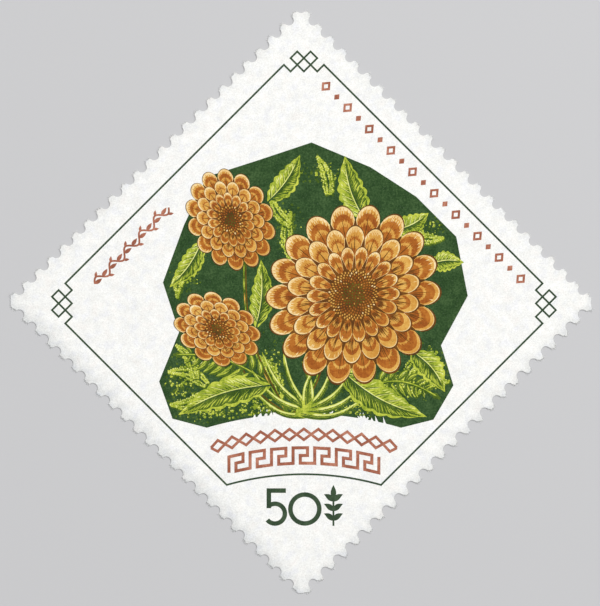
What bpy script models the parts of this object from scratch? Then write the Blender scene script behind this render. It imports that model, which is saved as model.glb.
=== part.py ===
# A square postage stamp that stands on its corner: perforated paper with a gum coat on the back and
# ink films on the face. Metres, +Z out of the printed face, origin at the centre of the gummed back.

import math

import bmesh
import bpy
from mathutils import Matrix, Vector

# Sheet
GAUGE = 11  # perforation holes in 20 mm
HOLE_PITCH = 0.020 / GAUGE
PITCHES_PER_SIDE = 24
HOLE_RADIUS = 0.00053
HOLE_STEPS = 6
GUM_THICKNESS = 0.000012
PAPER_THICKNESS = 0.000085

# Ink films lie on the paper and over each other in levels
INK_THICKNESS = 0.000004
FILM_GAP = 0.000002
GROUND_LEVEL, STEM_LEVEL, FROND_LEVEL, GRASS_LEVEL, LEAF_LEVEL, PETAL_LEVEL = range(1, 7)

# The print sits a little off the centre of the sheet
PRINT_SHIFT = (0.00030, -0.00013)

# Rule: a thin diamond with knots at three corners and an arch across the fourth
RULE_SIDE = 0.0384
RULE_WIDTH = 0.00020
KNOT_CELL = 0.00099
KNOT_PATH = ((0, 0), (0, 1), (3, 1), (3, 2), (1, 2), (1, 0), (2, 0), (2, 3), (3, 3))
KNOT_REACH = 3
ARCH_HALF_CHORD = 0.0081
ARCH_RISE = 0.00112
ARCH_STEPS = 24

# Ornament bands above the arch, concentric with it
CHAIN_INSET = 0.00348
CHAIN_HEIGHT = 0.00143
CHAIN_LINE = 0.00029
CHAIN_HALF_LENGTH = 0.00990
CHAIN_LOZENGES = 13
FRET_INSET = 0.00100
FRET_HEIGHT = 0.00195
FRET_LINE = 0.00033
FRET_HALF_LENGTH = 0.00795
FRET_UNITS = 7
FRET_PATH = ((0, 0), (0, 2), (2, 2), (2, 1), (1, 1), (1, 0))
FRET_CELLS = (3, 2)

# Value under the arch
DIGIT_STROKE = 0.00048
FIVE_LEFT, FIVE_BOTTOM = -0.00392, -0.02335
FIVE_WIDTH, FIVE_HEIGHT = 0.00155, 0.00394
FIVE_BOWL_RADIUS = 0.00128
FIVE_BOWL_START, FIVE_BOWL_END = 129, -141  # degrees
FIVE_BOWL_ASIDE = 0.62  # from the upright to the centre of the bowl, in bowl radii
FIVE_WAIST = 0.78  # from the centre of the bowl up to the end of the upright, in bowl radii
ZERO_CENTRE = (0.00010, -0.02158)
ZERO_RADIUS = 0.00176
DIGIT_STEPS = 32
SPRIG_FOOT = (0.00310, -0.02325)
SPRIG_HEIGHT = 0.00420
SPRIG_LEAF = (0.00125, 0.00060)  # length and width
SPRIG_LEAF_TIP = (0.80, 0.62)  # sideways and up from the twig, in leaf lengths
SPRIG_LEAF_BEND = 0.2  # in leaf widths
SPRIG_PAIRS = (0.10, 0.34, 0.58)  # heights of the pairs of leaves, as shares of the sprig's
SPRIG_TWIG_TOP, SPRIG_CROWN = 0.72, 0.66
SPRIG_TWIG_WIDTH = 0.00020

# Margin ornaments
MARK_START, MARK_END = (0.00232, 0.02280), (0.02276, 0.00258)
MARK_COUNT = 19
OPEN_MARK = (0.00116, 0.00136)  # along and across the side
OPEN_MARK_INSIDE = 0.46  # of the outer size
SOLID_MARK = (0.00066, 0.00080)
SCROLL_START, SCROLL_END = (-0.02195, 0.00204), (-0.01420, 0.01008)
SCROLL_WAVES = 5
SCROLL_STEPS = 12  # in a wave
SCROLL_AMPLITUDE = 0.00044
SCROLL_LINE = 0.00020
SCROLL_LEAF = (0.00096, 0.00042)  # in the hollow of each bend: length and width
SCROLL_LEAF_DROOP = 0.16  # of its tip towards the open side of the hollow, in leaf lengths
SCROLL_BUD = (0.00062, 0.00030)  # outside each bend: length and width
SCROLL_BUD_TIP = (0.80, 0.60)  # along and across the line, in bud lengths

# Picture: blooms and leaves on a faceted ground whose foot follows the arch
GROUND_INSET = 0.00635
GROUND_FOOT_HALF = 0.0102
GROUND_FOOT_STEPS = 16
GROUND_CORNERS = (
    (0.0136, -0.0122), (0.0157, -0.0086), (0.0144, -0.0044), (0.0172, 0.0008), (0.0160, 0.0070),
    (0.0118, 0.0112), (0.0070, 0.0143), (0.0008, 0.0169), (-0.0046, 0.0151), (-0.0102, 0.0133),
    (-0.0126, 0.0082), (-0.0148, 0.0022), (-0.0131, -0.0030), (-0.0152, -0.0082), (-0.0138, -0.0121),
)
# name: centre, radius, petals in a ring, flattening, direction of the flattening in degrees
BLOOMS = {
    "large_bloom": ((0.0052, 0.0009), 0.0097, 18, 0.94, 60),
    "small_bloom": ((-0.0077, 0.0088), 0.0056, 14, 0.80, 118),
    "half_open_bloom": ((-0.0091, -0.0027), 0.0049, 12, 0.74, 150),
}
# ring: share of the bloom's radius, depth of its notches, ink; from the lowest film up
PETAL_RINGS = (
    ("outer", 1.00, 0.20, "rust_ink"),
    ("middle", 0.77, 0.21, "ochre_ink"),
    ("inner", 0.54, 0.22, "rust_ink"),
    ("heart", 0.30, 0.14, "brown_ink"),
)
PETAL_STEPS = 6
PETAL_ROUNDNESS = 0.55
# leaf: foot, tip, width, sideways bend of its midrib
LEAVES = (
    ((0.0066, 0.0086), (0.0043, 0.0155), 0.0031, 0.0005),
    ((0.0092, 0.0076), (0.0131, 0.0095), 0.0026, -0.0004),
    ((0.0132, 0.0040), (0.0168, 0.0043), 0.0023, 0.0003),
    ((0.0112, -0.0050), (0.0148, -0.0093), 0.0029, 0.0005),
    ((0.0036, -0.0068), (0.0129, -0.0119), 0.0036, -0.0008),
    ((-0.0038, 0.0106), (-0.0004, 0.0156), 0.0026, -0.0004),
    ((-0.0106, 0.0066), (-0.0141, 0.0017), 0.0024, 0.0004),
    ((-0.0034, -0.0086), (-0.0132, -0.0117), 0.0033, -0.0007),
    ((-0.0050, -0.0026), (-0.0045, 0.0046), 0.0026, -0.0004),
)
LEAF_FULLNESS = 0.8  # under 1, the widest place lies nearer the foot
LEAF_TEETH = 7
LEAF_TOOTH_DEPTH = 0.18
# frond: foot, tip, sideways bend, pairs of leaflets, length of the longest leaflet
FRONDS = (
    ((-0.0038, -0.0083), (-0.0137, -0.0054), -0.0010, 9, 0.0026),
    ((0.0052, -0.0096), (0.0143, -0.0100), 0.0016, 8, 0.0021),
)
FROND_MIDRIB = 0.00030
FROND_LEAFLET_SHAPE = 0.34  # width to length
FROND_LEAFLET_LEAN = 52  # degrees from the midrib
FROND_LEAFLET_BEND = 0.25  # in leaflet widths
FROND_TAPER = (0.22, 0.70)  # part of a half wave that the lengths of the leaflets follow: start and span
# stem: foot, top, sideways bend
STEMS = (
    ((-0.0016, -0.0117), (-0.0062, 0.0050), 0.0016),
    ((-0.0017, -0.0117), (-0.0074, -0.0050), 0.0009),
    ((-0.0015, -0.0117), (0.0020, -0.0060), -0.0006),
)
STEM_WIDTH = 0.00042
STEM_STEPS = 10
# blade: direction of its tip in degrees, length, sideways bend
GRASS_FOOT = (0.0004, -0.0114)
GRASS_SPREAD = 0.00028
GRASS_BLADES = (
    (163, 0.0070, 0.0013), (147, 0.0082, 0.0012), (131, 0.0084, 0.0010), (115, 0.0070, 0.0007),
    (98, 0.0054, -0.0005), (79, 0.0048, 0.0005), (61, 0.0062, -0.0007), (43, 0.0078, -0.0011),
    (27, 0.0084, -0.0013), (12, 0.0074, -0.0012),
)
GRASS_WIDTH = 0.00080
GRASS_STEPS = 6

FLAT_ANGLE = 0.5  # degrees; faces of a joined film that turn less are one face

# name: colour, roughness
FINISHES = {
    "paper": ((0.88, 0.88, 0.86), 0.85),
    "gum": ((0.86, 0.82, 0.70), 0.35),
    "dark_green_ink": ((0.022, 0.090, 0.040), 0.70),
    "yellow_green_ink": ((0.52, 0.62, 0.09), 0.70),
    "olive_ink": ((0.10, 0.20, 0.03), 0.70),
    "ochre_ink": ((0.79, 0.43, 0.11), 0.70),
    "rust_ink": ((0.48, 0.13, 0.02), 0.70),
    "brown_ink": ((0.10, 0.045, 0.010), 0.70),
    "red_ink": ((0.40, 0.112, 0.062), 0.70),
}


def clear_scene():
    for obj in list(bpy.data.objects):
        bpy.data.objects.remove(obj)


def make_collection(name):
    collection = bpy.data.collections.new(name)
    bpy.context.scene.collection.children.link(collection)
    return collection


def make_material(name, colour, roughness):
    material = bpy.data.materials.new(name)
    material.use_nodes = True
    shader = material.node_tree.nodes["Principled BSDF"]
    shader.inputs["Base Color"].default_value = (*colour, 1)
    shader.inputs["Roughness"].default_value = roughness
    shader.inputs["Metallic"].default_value = 0.0
    return material


clear_scene()
stamp = make_collection("postage_stamp")
workshop = make_collection("shapes_to_join")
materials = {name: make_material(name, *finish) for name, finish in FINISHES.items()}
print_register = bpy.data.objects.new("print_register", None)
print_register.location = (*PRINT_SHIFT, 0)
stamp.objects.link(print_register)


# Points and outlines


def arc(centre, radius, start, end, steps):
    """Points on an arc, with both ends, angles in radians."""
    angles = [start + (end - start) * i / steps for i in range(steps + 1)]
    return [(centre[0] + radius * math.cos(a), centre[1] + radius * math.sin(a)) for a in angles]


def ring_band(centre, radius, width, start, end, steps):
    """Outline of a band of the given width whose middle line is an arc."""
    outside = arc(centre, radius + width / 2, start, end, steps)
    inside = arc(centre, radius - width / 2, end, start, steps)
    return outside + inside


def bent_line(foot, tip, bend, steps):
    """Points of a line whose middle is pushed sideways."""
    foot, tip = Vector(foot), Vector(tip)
    side = (tip - foot).orthogonal().normalized()
    shares = [i / steps for i in range(steps + 1)]
    return [foot.lerp(tip, t) + side * bend * math.sin(math.pi * t) for t in shares]


def ribbon_outline(line, widths):
    """Outline of a line drawn with a width at each of its points, with mitred corners.

    A width of 0 gives a sharp end.
    """
    line = [Vector(point) for point in line]
    normals = [(b - a).orthogonal().normalized() for a, b in zip(line, line[1:])]
    left, right = [], []
    for i, (point, width) in enumerate(zip(line, widths)):
        before, after = normals[max(i - 1, 0)], normals[min(i, len(normals) - 1)]
        mitre = (before + after).normalized()
        reach = mitre * width / 2 / mitre.dot(after)
        left.append(tuple(point + reach))
        if width:
            right.append(tuple(point - reach))
    return right + left[::-1]


def stroke_outline(line, width):
    return ribbon_outline(line, [width] * len(line))


def leaf_outline(foot, tip, width, bend, teeth=3, depth=0.0):
    """A pointed leaf, widest below its middle, with saw teeth if they have a depth."""
    steps = teeth * 2
    widths = [0.0]
    for i in range(1, steps):
        fullness = math.sin(math.pi * (i / steps) ** LEAF_FULLNESS)
        widths.append(width * fullness * (1 - depth * (i % 2)))
    return ribbon_outline(bent_line(foot, tip, bend, steps), widths + [0.0])


def petal_ring(centre, radius, petals, half_turn, notch, flattening, direction):
    """A rosette outline: round petal tips with notches between, seen at a slant."""
    slant = Matrix.Rotation(math.radians(direction), 2)
    outline = []
    for i in range(petals * PETAL_STEPS):
        swing = math.pi * i / PETAL_STEPS
        angle = (2 * swing + half_turn * math.pi) / petals
        reach = radius * (1 - notch + notch * abs(math.cos(swing)) ** PETAL_ROUNDNESS)
        flat = Vector((reach * math.cos(angle), reach * math.sin(angle) * flattening))
        outline.append(tuple(Vector(centre) + slant @ flat))
    return outline


# Solids


def ink_base(level):
    paper_top = GUM_THICKNESS + FILM_GAP + PAPER_THICKNESS
    return paper_top + FILM_GAP + (level - 1) * (INK_THICKNESS + FILM_GAP)


def flat_curve(name, outlines, bottom, thickness, collection):
    """A flat shape from closed outlines; an outline inside another is a hole."""
    curve = bpy.data.curves.new(name, "CURVE")
    curve.dimensions = "2D"
    curve.fill_mode = "BOTH"
    curve.extrude = thickness / 2
    for outline in outlines:
        spline = curve.splines.new("POLY")
        spline.points.add(len(outline) - 1)
        for point, (x, y) in zip(spline.points, outline):
            point.co = (x, y, 0, 1)
        spline.use_cyclic_u = True
    obj = bpy.data.objects.new(name, curve)
    obj.location.z = bottom + thickness / 2
    collection.objects.link(obj)
    return obj


def ink_shape(name, outlines, level, ink):
    """One ink film with its own outline."""
    obj = flat_curve(name, outlines, ink_base(level), INK_THICKNESS, stamp)
    obj.data.materials.append(materials[ink])
    obj.parent = print_register
    return obj


def shape_to_mesh(outline):
    """A film in the workshop, as a mesh that can be joined to others."""
    source = flat_curve("stroke", [outline], 0, INK_THICKNESS, workshop)
    graph = bpy.context.evaluated_depsgraph_get()
    mesh = bpy.data.meshes.new_from_object(source.evaluated_get(graph))
    shell = bmesh.new()
    shell.from_mesh(mesh)
    bmesh.ops.remove_doubles(shell, verts=shell.verts, dist=INK_THICKNESS / 10)
    shell.to_mesh(mesh)
    shell.free()
    obj = bpy.data.objects.new("stroke", mesh)
    obj.matrix_world = source.matrix_world
    workshop.objects.link(obj)
    bpy.data.objects.remove(source)
    return obj


def bar_outline(start, end, width):
    """A straight stroke, half a width longer at both ends so that corners are full."""
    start, end = Vector(start), Vector(end)
    along = (end - start).normalized() * width / 2
    across = along.orthogonal()
    corners = (start - along - across, end + along - across, end + along + across, start - along + across)
    return [tuple(corner) for corner in corners]


def joined_film(name, outlines, level, ink):
    """Strokes that cross each other, joined into one ink film."""
    strokes = [shape_to_mesh(outline) for outline in outlines]
    first, others = strokes[0], strokes[1:]
    operands = bpy.data.collections.new("strokes_to_join")
    bpy.context.scene.collection.children.link(operands)
    for stroke in others:
        operands.objects.link(stroke)
    union = first.modifiers.new("union", "BOOLEAN")
    union.operation = "UNION"
    union.solver = "EXACT"
    union.operand_type = "COLLECTION"
    union.collection = operands
    graph = bpy.context.evaluated_depsgraph_get()
    mesh = bpy.data.meshes.new_from_object(first.evaluated_get(graph))
    for stroke in strokes:
        bpy.data.objects.remove(stroke)
    bpy.data.collections.remove(operands)
    shell = bmesh.new()
    shell.from_mesh(mesh)
    flat = math.radians(FLAT_ANGLE)
    bmesh.ops.dissolve_limit(shell, angle_limit=flat, verts=shell.verts, edges=shell.edges)
    shell.to_mesh(mesh)
    shell.free()
    mesh.materials.clear()
    mesh.materials.append(materials[ink])
    obj = bpy.data.objects.new(name, mesh)
    obj.location.z = ink_base(level)
    obj.parent = print_register
    stamp.objects.link(obj)
    return obj


# Sheet


def sheet_outline():
    """A square whose sides run through half holes, with one shared hole at each corner."""
    half = HOLE_PITCH * PITCHES_PER_SIDE / 2
    outline = []
    for quarter in range(4):
        turn = Matrix.Rotation(math.radians(45 + 90 * quarter), 2)
        for k in range(PITCHES_PER_SIDE):
            start = math.pi / 2 if k == 0 else math.pi
            hole = arc((k * HOLE_PITCH - half, -half), HOLE_RADIUS, start, 0, HOLE_STEPS)
            outline += [tuple(turn @ Vector(point)) for point in hole]
    return outline


def make_sheet():
    gum = flat_curve("gum", [sheet_outline()], 0, GUM_THICKNESS, stamp)
    gum.data.materials.append(materials["gum"])
    paper_bottom = GUM_THICKNESS + FILM_GAP
    paper = flat_curve("paper", [sheet_outline()], paper_bottom, PAPER_THICKNESS, stamp)
    paper.data.materials.append(materials["paper"])


# Rule, bands and value


def arch_radius():
    return (ARCH_HALF_CHORD**2 + ARCH_RISE**2) / (2 * ARCH_RISE)


def arch_centre():
    """The arch ends on the lower sides of the diamond, and bulges up."""
    corner = RULE_SIDE / math.sqrt(2)
    end_height = -(corner - ARCH_HALF_CHORD)
    return (0.0, end_height + ARCH_RISE - arch_radius())


def on_diamond(u, v):
    """A point of the upright square of the rule, turned to stand on its corner."""
    return tuple(Matrix.Rotation(math.radians(45), 2) @ Vector((u, v)))


def on_arch(along, inset):
    """A point at a distance along the arch from its crown, and inset above it."""
    radius = arch_radius() + inset
    angle = math.pi / 2 - along / (arch_radius() + inset)
    centre = arch_centre()
    return (centre[0] + radius * math.cos(angle), centre[1] + radius * math.sin(angle))


def knot_strokes(quarter):
    half = RULE_SIDE / 2
    turn = Matrix.Rotation(math.radians(90 * quarter), 2)
    path = []
    for p, q in KNOT_PATH:
        corner = Vector((half + (p - KNOT_REACH) * KNOT_CELL, half - q * KNOT_CELL))
        path.append(on_diamond(*(turn @ corner)))
    return [bar_outline(a, b, RULE_WIDTH) for a, b in zip(path, path[1:])]


def make_rule():
    half = RULE_SIDE / 2
    knot = half - KNOT_REACH * KNOT_CELL
    arch_end = ARCH_HALF_CHORD * math.sqrt(2) - half
    sides = (
        ((-knot, half), (knot, half)),
        ((half, knot), (half, -knot)),
        ((-half, knot), (-half, arch_end)),
        ((knot, -half), (arch_end, -half)),
    )
    strokes = [bar_outline(on_diamond(*a), on_diamond(*b), RULE_WIDTH) for a, b in sides]
    for quarter in (0, 1, 3):
        strokes += knot_strokes(quarter)
    spread = math.asin(ARCH_HALF_CHORD / arch_radius())
    strokes.append(
        ring_band(
            arch_centre(), arch_radius(), RULE_WIDTH, math.pi / 2 + spread, math.pi / 2 - spread, ARCH_STEPS
        )
    )
    joined_film("rule", strokes, GROUND_LEVEL, "dark_green_ink")


def make_lozenge_chain():
    """Two zigzags that meet at the ends and cross between the lozenges."""
    reach = (CHAIN_HEIGHT - CHAIN_LINE) / 2
    middle = CHAIN_INSET + CHAIN_HEIGHT / 2
    outlines = []
    for way in (-1, 1):
        zigzag = []
        for i in range(2 * CHAIN_LOZENGES + 1):
            along = (i / CHAIN_LOZENGES - 1) * CHAIN_HALF_LENGTH
            swing = way * math.sin(math.pi * i / 2)
            zigzag.append(on_arch(along, middle + reach * swing))
        outlines.append(stroke_outline(zigzag, CHAIN_LINE))
    joined_film("lozenge_chain", outlines, GROUND_LEVEL, "red_ink")


def make_fret():
    """One line that runs through all the units of a key fret."""
    columns, rows = FRET_CELLS
    cell_width = 2 * FRET_HALF_LENGTH / (FRET_UNITS * columns)
    cell_height = (FRET_HEIGHT - FRET_LINE) / rows
    cells = [(unit * columns + column, row) for unit in range(FRET_UNITS) for column, row in FRET_PATH]
    cells += [(FRET_UNITS * columns, 0), (FRET_UNITS * columns, rows)]
    path = []
    for column, row in cells:
        inset = FRET_INSET + FRET_LINE / 2 + row * cell_height
        path.append(on_arch(column * cell_width - FRET_HALF_LENGTH, inset))
    ink_shape("key_fret", [stroke_outline(path, FRET_LINE)], GROUND_LEVEL, "red_ink")


def make_value():
    """The number 50 in plain strokes."""
    half = DIGIT_STROKE / 2
    left, right = FIVE_LEFT + half, FIVE_LEFT + FIVE_WIDTH + half
    top = FIVE_BOTTOM + FIVE_HEIGHT - half
    bowl_radius = FIVE_BOWL_RADIUS - half
    bowl_centre = (left + bowl_radius * FIVE_BOWL_ASIDE, FIVE_BOTTOM + half + bowl_radius)
    waist = bowl_centre[1] + bowl_radius * FIVE_WAIST
    strokes = [
        bar_outline((left, top), (right, top), DIGIT_STROKE),
        bar_outline((left, top), (left, waist), DIGIT_STROKE),
        ring_band(
            bowl_centre,
            bowl_radius,
            DIGIT_STROKE,
            math.radians(FIVE_BOWL_START),
            math.radians(FIVE_BOWL_END),
            DIGIT_STEPS,
        ),
    ]
    joined_film("digit_five", strokes, GROUND_LEVEL, "dark_green_ink")
    rings = []
    for radius in (ZERO_RADIUS, ZERO_RADIUS - DIGIT_STROKE):
        rings.append(arc(ZERO_CENTRE, radius, 0, 2 * math.pi, DIGIT_STEPS)[:-1])
    ink_shape("digit_zero", rings, GROUND_LEVEL, "dark_green_ink")


def make_sprig():
    """A small upright twig with leaves in pairs, beside the value."""
    foot = Vector(SPRIG_FOOT)
    length, width = SPRIG_LEAF
    strokes = [bar_outline(foot, foot + Vector((0, SPRIG_HEIGHT * SPRIG_TWIG_TOP)), SPRIG_TWIG_WIDTH)]
    for share in SPRIG_PAIRS:
        root = foot + Vector((0, SPRIG_HEIGHT * share))
        for side in (-1, 1):
            tip = root + Vector((side * SPRIG_LEAF_TIP[0], SPRIG_LEAF_TIP[1])) * length
            strokes.append(leaf_outline(root, tip, width, side * width * SPRIG_LEAF_BEND))
    crown = foot + Vector((0, SPRIG_HEIGHT * SPRIG_CROWN))
    strokes.append(leaf_outline(crown, foot + Vector((0, SPRIG_HEIGHT)), width, 0))
    joined_film("value_sprig", strokes, GROUND_LEVEL, "dark_green_ink")


# Margin ornaments


def lozenge(centre, along, length, height):
    across = along.orthogonal()
    tips = (along * length / 2, across * height / 2, -along * length / 2, -across * height / 2)
    return [tuple(Vector(centre) + tip) for tip in tips]


def make_margin_marks():
    """Open and solid lozenges by turns along the upper right side."""
    start, end = Vector(MARK_START), Vector(MARK_END)
    along = (end - start).normalized()
    for k in range(MARK_COUNT):
        centre = start.lerp(end, k / (MARK_COUNT - 1))
        if k % 2 == 0:
            inside = [size * OPEN_MARK_INSIDE for size in OPEN_MARK]
            outlines = [lozenge(centre, along, *OPEN_MARK), lozenge(centre, along, *inside)]
        else:
            outlines = [lozenge(centre, along, *SOLID_MARK)]
        ink_shape(f"margin_mark_{k + 1:02d}", outlines, GROUND_LEVEL, "red_ink")


def make_margin_scroll():
    """A waved line along the upper left side, with a leaf in the hollow of each bend and a bud outside it."""
    start, end = Vector(SCROLL_START), Vector(SCROLL_END)
    along = (end - start).normalized()
    across = along.orthogonal()
    steps = SCROLL_WAVES * SCROLL_STEPS
    wave = []
    for i in range(steps + 1):
        swing = math.sin(2 * math.pi * i / SCROLL_STEPS)
        wave.append(start.lerp(end, i / steps) + across * SCROLL_AMPLITUDE * swing)
    outlines = [stroke_outline(wave, SCROLL_LINE)]
    for bend in range(2 * SCROLL_WAVES):
        outward = across * (-1) ** bend
        root = wave[bend * SCROLL_STEPS // 2]
        crest = wave[bend * SCROLL_STEPS // 2 + SCROLL_STEPS // 4]
        leaf_tip = root + (along - outward * SCROLL_LEAF_DROOP) * SCROLL_LEAF[0]
        bud_tip = crest + (along * SCROLL_BUD_TIP[0] + outward * SCROLL_BUD_TIP[1]) * SCROLL_BUD[0]
        outlines.append(leaf_outline(root, leaf_tip, SCROLL_LEAF[1], 0))
        outlines.append(leaf_outline(crest, bud_tip, SCROLL_BUD[1], 0))
    joined_film("margin_scroll", outlines, GROUND_LEVEL, "red_ink")


# Picture


def make_ground():
    radius = arch_radius() + GROUND_INSET
    spread = math.asin(GROUND_FOOT_HALF / radius)
    foot = arc(arch_centre(), radius, math.pi / 2 + spread, math.pi / 2 - spread, GROUND_FOOT_STEPS)
    ink_shape("picture_ground", [foot + list(GROUND_CORNERS)], GROUND_LEVEL, "dark_green_ink")


def make_stems():
    outlines = [stroke_outline(bent_line(*stem, STEM_STEPS), STEM_WIDTH) for stem in STEMS]
    joined_film("stems", outlines, STEM_LEVEL, "olive_ink")


def make_grass():
    """Pointed blades that spread from one tuft."""
    outlines = []
    for k, (direction, length, bend) in enumerate(GRASS_BLADES):
        foot = Vector(GRASS_FOOT) - Vector((GRASS_SPREAD * (k - (len(GRASS_BLADES) - 1) / 2), 0))
        heading = math.radians(direction)
        tip = foot + Vector((math.cos(heading), math.sin(heading))) * length
        line = bent_line(foot, tip, bend, GRASS_STEPS)
        widths = [GRASS_WIDTH * math.sqrt(1 - i / GRASS_STEPS) for i in range(GRASS_STEPS + 1)]
        outlines.append(ribbon_outline(line, widths))
    joined_film("grass_tuft", outlines, GRASS_LEVEL, "yellow_green_ink")


def make_fronds():
    """Pinnate leaves: pairs of leaflets that get shorter towards the tip."""
    for k, (foot, tip, bend, pairs, longest) in enumerate(FRONDS):
        midrib = bent_line(foot, tip, bend, pairs + 2)
        outlines = [stroke_outline(midrib, FROND_MIDRIB)]
        for pair in range(1, pairs + 1):
            along = (midrib[pair + 1] - midrib[pair]).normalized()
            wave = FROND_TAPER[0] + FROND_TAPER[1] * pair / (pairs + 1)
            length = longest * math.sin(math.pi * wave)
            for side in (-1, 1):
                lean = Matrix.Rotation(math.radians(side * FROND_LEAFLET_LEAN), 2)
                end = midrib[pair] + lean @ along * length
                width = length * FROND_LEAFLET_SHAPE
                outlines.append(leaf_outline(midrib[pair], end, width, side * width * FROND_LEAFLET_BEND))
        outlines.append(leaf_outline(midrib[-2], midrib[-1], FROND_MIDRIB * 2, 0))
        joined_film(f"frond_{k + 1}", outlines, FROND_LEVEL, "olive_ink")


def make_leaves():
    for k, (foot, tip, width, bend) in enumerate(LEAVES):
        outline = leaf_outline(foot, tip, width, bend, LEAF_TEETH, LEAF_TOOTH_DEPTH)
        ink_shape(f"leaf_{k + 1:02d}", [outline], LEAF_LEVEL, "yellow_green_ink")


def make_blooms():
    """Each ring of petals lies on the one outside it, turned by half a petal."""
    for name, (centre, radius, petals, flattening, direction) in BLOOMS.items():
        for k, (ring, share, notch, ink) in enumerate(PETAL_RINGS):
            outline = petal_ring(centre, radius * share, petals, k % 2, notch, flattening, direction)
            ink_shape(f"{name}_{ring}", [outline], PETAL_LEVEL + k, ink)


make_sheet()
make_rule()
make_lozenge_chain()
make_fret()
make_value()
make_sprig()
make_margin_marks()
make_margin_scroll()
make_ground()
make_stems()
make_fronds()
make_grass()
make_leaves()
make_blooms()
bpy.data.collections.remove(workshop)
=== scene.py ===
import math
import random

import bmesh
import bpy
from mathutils import Matrix, Vector
from mathutils.geometry import delaunay_2d_cdt
from mathutils.kdtree import KDTree


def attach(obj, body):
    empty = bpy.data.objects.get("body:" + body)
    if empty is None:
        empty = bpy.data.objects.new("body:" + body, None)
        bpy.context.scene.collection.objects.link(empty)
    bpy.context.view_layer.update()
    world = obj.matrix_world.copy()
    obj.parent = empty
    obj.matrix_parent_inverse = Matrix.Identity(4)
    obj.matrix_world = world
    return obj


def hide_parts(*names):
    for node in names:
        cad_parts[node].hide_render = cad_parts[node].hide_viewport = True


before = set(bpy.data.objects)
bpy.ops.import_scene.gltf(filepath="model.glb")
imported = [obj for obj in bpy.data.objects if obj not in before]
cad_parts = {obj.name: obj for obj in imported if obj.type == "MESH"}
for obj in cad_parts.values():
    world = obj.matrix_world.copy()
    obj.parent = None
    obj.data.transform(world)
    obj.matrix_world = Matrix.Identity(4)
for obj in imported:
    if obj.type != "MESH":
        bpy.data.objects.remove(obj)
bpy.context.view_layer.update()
print("frame loaded:", len(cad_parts), "nodes")

mm = 0.001  # outlines are drawn in millimetres, seen from the front, and become metres in a mesh


def turned(point, degrees):
    return Matrix.Rotation(math.radians(degrees), 2) @ Vector(point)


def onArc(centre, radius, degrees):
    angle = math.radians(degrees)
    return Vector(centre) + Vector((math.cos(angle), math.sin(angle))) * radius


def sideways(foot, tip):
    return (Vector(tip) - Vector(foot)).orthogonal().normalized()


def upward(way):
    return way if way.y > 0 else -way


def bentLine(foot, tip, bend, steps):
    foot, tip = Vector(foot), Vector(tip)
    side = sideways(foot, tip)
    return [
        foot.lerp(tip, i / steps) + side * bend * math.sin(math.pi * i / steps)
        for i in range(steps + 1)
    ]


def pointed(widths):
    # a width of 0 gives a line a sharp end
    return [0.0, *widths, 0.0]


def ribbon(line, widths):
    # a line drawn with a width at each of its points
    normals = [sideways(a, b) for a, b in zip(line, line[1:])]
    left, right = [], []
    for i, (point, width) in enumerate(zip(line, widths)):
        before, after = normals[max(i - 1, 0)], normals[min(i, len(normals) - 1)]
        mitre = (before + after).normalized()
        reach = mitre * width / 2 / mitre.dot(after)
        left.append(point + reach)
        if width:
            right.append(point - reach)
    return right + left[::-1]


def pointedLine(line, wide, loss=0.0):
    # its width starts at wide and loses a little a step
    return ribbon(line, pointed([wide - loss * i for i in range(len(line) - 2)]))


def brushStroke(foot, tip, width, bend=0.0, steps=4, belly=0.5):
    # pointed at both ends, widest at its belly
    taper = math.log(0.5) / math.log(belly)
    widths = [width * math.sin(math.pi * (i / steps) ** taper) for i in range(1, steps)]
    return ribbon(bentLine(foot, tip, bend, steps), pointed(widths))


touches = {
    "belly": 0.45,  # where a hatch mark is widest, from foot to tip
    "dotReach": (0.65, 1.2),  # how unevenly the corners of a dot stand out
    "dotTurn": 0.3,  # how far they stray, against their spacing
}


def hatchMark(foot, tip, width):
    # a short kite: one touch of the brush
    side = sideways(foot, tip) * width / 2
    middle = foot.lerp(tip, touches["belly"])
    return [foot, middle - side, tip, middle + side]


def blot(centre, radius, corners, rng):
    outline = []
    stray = touches["dotTurn"]
    for i in range(corners):
        reach = radius * rng.uniform(*touches["dotReach"])
        outline.append(onArc(centre, reach, 360 * (i + rng.uniform(-stray, stray)) / corners))
    return outline


# the print: outlines laid over each other, each in one ink on one film
picture = []


def lay(ink, film, outline, within=None):
    # within is the number of an earlier outline, and nothing shows past that one's edge
    turn = sum(a.cross(b) for a, b in zip(outline, outline[1:] + outline[:1]))
    picture.append((ink, film, outline if turn > 0 else outline[::-1], within))
    return len(picture) - 1


press = {
    "shift": (0.30, -0.13),  # how far the print sits off the centre of the sheet
    "bottom": 0.101,  # height of the underside of the ink
    "film": 0.004,  # its thickness
    "step": 0.006,  # from one film up to the next
    "merge": 1e-4,  # points nearer to each other than this become one
    "flush": 0.002,  # faces that meet at less than this angle, in radians, become one
}
groundFilm, stemFilm, frondFilm, grassFilm, leafFilm, petalFilm = range(1, 7)

# corner is where the rule's bottom corner would be without the arch: half the diagonal of its square
arch = {"halfChord": 8.1, "rise": 1.12, "corner": 38.4 / math.sqrt(2)}
archRadius = (arch["halfChord"] ** 2 + arch["rise"] ** 2) / (2 * arch["rise"])
archCentre = Vector((0, arch["halfChord"] - arch["corner"] + arch["rise"] - archRadius))

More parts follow.
